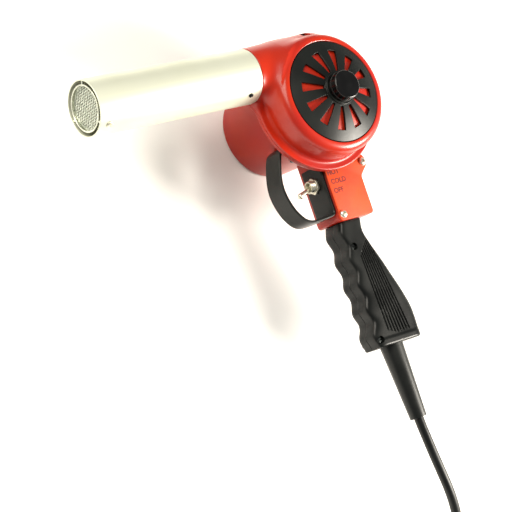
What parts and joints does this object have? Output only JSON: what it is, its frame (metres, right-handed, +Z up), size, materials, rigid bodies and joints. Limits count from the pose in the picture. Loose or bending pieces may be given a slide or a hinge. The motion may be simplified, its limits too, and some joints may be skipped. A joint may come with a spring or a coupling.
{
  "type": "heat gun",
  "caption": "Mains heat gun with a die-cast body, straight steel barrel, adjustable air intake, toggle switch, finger guard and moulded grip; it stands on the flat end of its motor housing.",
  "frame": {"origin": "centre of the flat base at the end of the motor housing", "axes": "+Z up along the motor shaft and the air intake, barrel along -X, grip along -Y"},
  "size_m": [0.4276, 0.6889, 0.143],
  "materials": {
    "red_enamel": "glossy stoved enamel on die-cast aluminium",
    "red_wrinkle": "textured orange-red enamel",
    "satin_steel": "satin, lightly brushed",
    "bright_steel": "zinc or nickel plated, bright",
    "dark_steel": "dark, heat tinted or blackened",
    "black_paint": "satin black enamel on sheet steel",
    "black_plastic": "moulded, satin",
    "black_rubber": "moulded, matt",
    "cast_aluminium": "as cast",
    "copper_wire": "enamelled copper wire",
    "ceramic": "unglazed ceramic",
    "mica_sheet": "bonded mica sheet",
    "brass": "bright brass",
    "carbon": "pressed carbon"
  },
  "bodies": {
    "gun": {"motor_housing": "red_enamel", "fan_housing": "red_enamel", "housing_screw_1": "dark_steel", "housing_screw_2": "dark_steel", "housing_screw_3": "dark_steel", "barrel_screw_front": "bright_steel", "barrel_screw_rear": "bright_steel", "barrel": "satin_steel", "nozzle_ring": "dark_steel", "nozzle_screen": "satin_steel", "element_core": "ceramic", "heating_coil": "dark_steel", "insulation_sleeve": "mica_sheet", "element_base": "ceramic", "shutter_stud": "bright_steel", "stator_core": "dark_steel", "field_coil_1": "copper_wire", "field_coil_2": "copper_wire", "rear_bearing": "bright_steel", "front_bearing": "bright_steel", "stator_screw_1": "bright_steel", "stator_screw_2": "bright_steel", "motor_bracket": "cast_aluminium", "brush_1": "carbon", "brush_holder_1": "brass", "brush_2": "carbon", "brush_holder_2": "brass", "switch_box": "red_enamel", "cover_screw_1": "bright_steel", "cover_screw_2": "bright_steel", "switch_cover": "red_wrinkle", "switch_plate": "black_paint", "switch_body": "black_plastic", "toggle_bushing": "bright_steel", "toggle_nut": "bright_steel", "finger_guard": "black_paint", "handle_screw_1": "dark_steel", "handle_screw_2": "dark_steel", "handle_front": "black_plastic", "handle_rear": "black_plastic", "strain_relief": "black_rubber", "cord_inner": "black_rubber", "cord_free": "black_rubber", "cord_coil": "black_rubber", "cord_tail": "black_rubber", "cord_tie": "black_rubber", "plug_body": "black_rubber", "blade_line": "brass", "blade_neutral": "brass", "earth_pin": "brass"},
    "shutter": {"intake_shutter": "black_paint", "shutter_knob": "black_plastic"},
    "rotor": {"motor_shaft": "bright_steel", "armature_core": "dark_steel", "winding_front": "copper_wire", "winding_rear": "copper_wire", "commutator": "copper_wire", "fan_wheel": "cast_aluminium", "fan_nut": "bright_steel"},
    "lever": {"toggle_lever": "bright_steel"}
  },
  "joints": [
    {"name": "shutter_turn", "type": "hinge", "parent": "gun", "child": "shutter", "pos_m": [0, 0, 0.122], "axis": [0, 0, 1], "range_deg": [0, 15]},
    {"name": "rotor_spin", "type": "hinge", "parent": "gun", "child": "rotor", "pos_m": [0, 0, 0.05], "axis": [0, 0, 1], "continuous": true},
    {"name": "toggle_throw", "type": "hinge", "parent": "gun", "child": "lever", "pos_m": [-0.016, -0.073, 0.0655], "axis": [0, 0, -1], "range_deg": [0, 40]}
  ]
}
